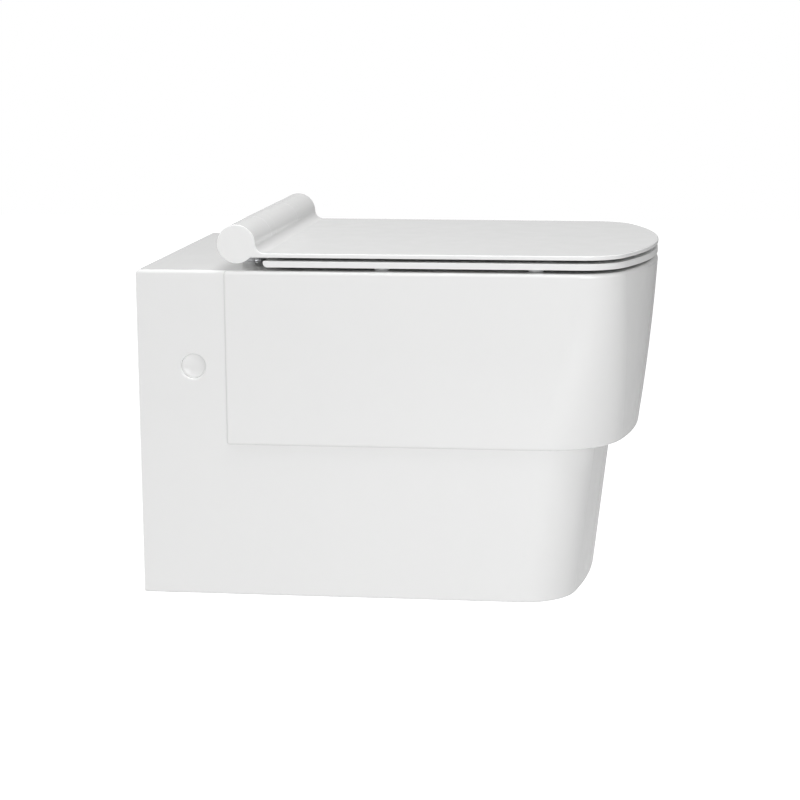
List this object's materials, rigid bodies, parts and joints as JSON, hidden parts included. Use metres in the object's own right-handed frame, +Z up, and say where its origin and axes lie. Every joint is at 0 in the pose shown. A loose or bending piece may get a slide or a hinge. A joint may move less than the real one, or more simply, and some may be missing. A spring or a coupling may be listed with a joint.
{
  "type": "wall hung toilet",
  "caption": "Wall hung toilet with a boxy glazed pan stepped at the rear block and base, concealed side fixings, a thin seat ring and a slim lid with a full-width hinge roll.",
  "frame": {"origin": "on the wall plane and the centre line, at the height of the two wall studs", "axes": "+Y into the wall, -Y out to the front of the bowl, +Z up, +X to the right seen from the front looking at the wall"},
  "size_m": [0.3602, 0.541, 0.3982],
  "materials": {
    "china": "white glaze, high gloss",
    "seat_plastic": "white, moulded, high gloss",
    "buffer_rubber": "pale translucent rubber, soft satin",
    "damper_plastic": "dark grey, fine satin",
    "nylon": "natural nylon, satin",
    "pin_steel": "stainless, turned",
    "disc_chrome": "polished chrome plate",
    "zinc_steel": "bright zinc plate",
    "seal_rubber": "black rubber, matte"
  },
  "bodies": {
    "pan": {"pan": "china", "bowl": "china", "trapway": "china", "inlet_horn": "china", "hinge_post_left": "seat_plastic", "hinge_post_right": "seat_plastic", "lid_damper": "damper_plastic", "seat_damper": "damper_plastic", "hinge_pin_left": "pin_steel", "hinge_pin_right": "pin_steel", "mounting_discs": "disc_chrome", "mounting_pins": "pin_steel", "mounting_bushes": "seal_rubber", "bush_nuts": "zinc_steel", "wall_bracket_left": "zinc_steel", "wall_bracket_right": "zinc_steel", "weld_nuts": "zinc_steel", "stud_washers": "zinc_steel", "stud_nuts": "zinc_steel", "side_screws": "zinc_steel", "side_sleeves": "nylon", "side_caps": "seat_plastic", "inlet_seal": "seal_rubber"},
    "seat": {"seat_ring": "seat_plastic", "seat_buffers": "buffer_rubber", "seat_damper_shaft": "pin_steel"},
    "lid": {"lid": "seat_plastic", "lid_buffers": "buffer_rubber", "lid_bushes": "nylon", "lid_damper_shaft": "pin_steel"}
  },
  "joints": [
    {"name": "seat_hinge", "type": "hinge", "parent": "pan", "child": "seat", "pos_m": [0, -0.108, 0.13], "axis": [-1, 0, 0], "range_deg": [0, 95]},
    {"name": "lid_hinge", "type": "hinge", "parent": "seat", "child": "lid", "pos_m": [0, -0.108, 0.13], "axis": [-1, 0, 0], "range_deg": [0, 100]}
  ]
}
